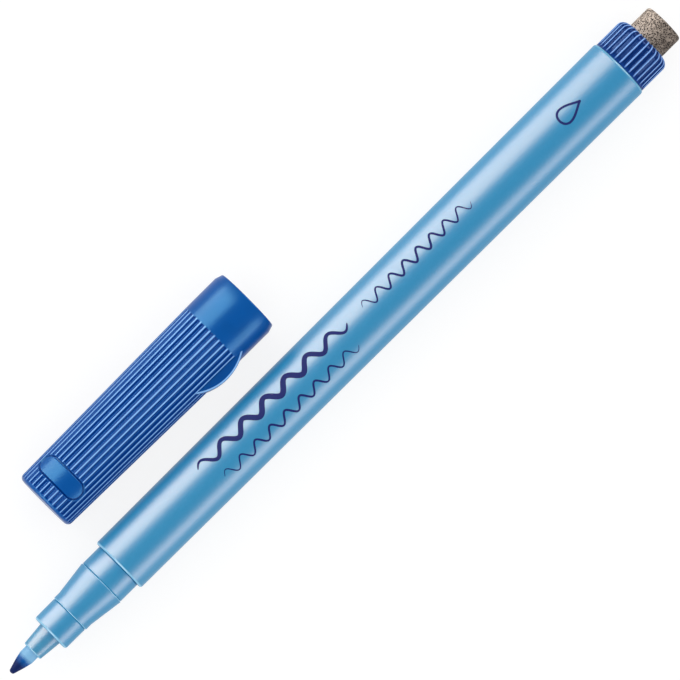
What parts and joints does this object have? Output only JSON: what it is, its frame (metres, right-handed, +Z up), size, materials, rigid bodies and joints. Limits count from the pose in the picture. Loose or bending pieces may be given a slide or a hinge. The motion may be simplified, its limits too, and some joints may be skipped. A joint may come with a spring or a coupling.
{
  "type": "non-permanent marker",
  "caption": "Round fibre-tip marker lying uncapped, with a smooth drafted barrel, ribbed end plug and eraser, and its fluted cap with an oval pad and a half-moon roll stop beside it.",
  "frame": {"origin": "on the table, under the middle of the box round the marker and its cap", "axes": "+X along the marker from the nib to the eraser, +Y towards the cap beside it, +Z up"},
  "size_m": [0.128, 0.0234, 0.0105],
  "materials": {
    "barrel": "satin",
    "nib_holder": "satin",
    "nib": "matte",
    "reservoir": "matte",
    "film": "gloss",
    "end_plug": "satin",
    "eraser": "matte",
    "cap": "satin"
  },
  "bodies": {
    "pen": {"barrel": "barrel", "nib_holder": "nib_holder", "nib": "nib", "ink_reservoir": "reservoir", "reservoir_film": "film", "end_plug": "end_plug", "eraser": "eraser"},
    "cap": {"cap": "cap"}
  },
  "joints": [
    {"name": "cap_slide", "type": "slide", "parent": "pen", "child": "cap", "axis": [-1, 0, 0], "range_m": [0, 0.024]}
  ]
}
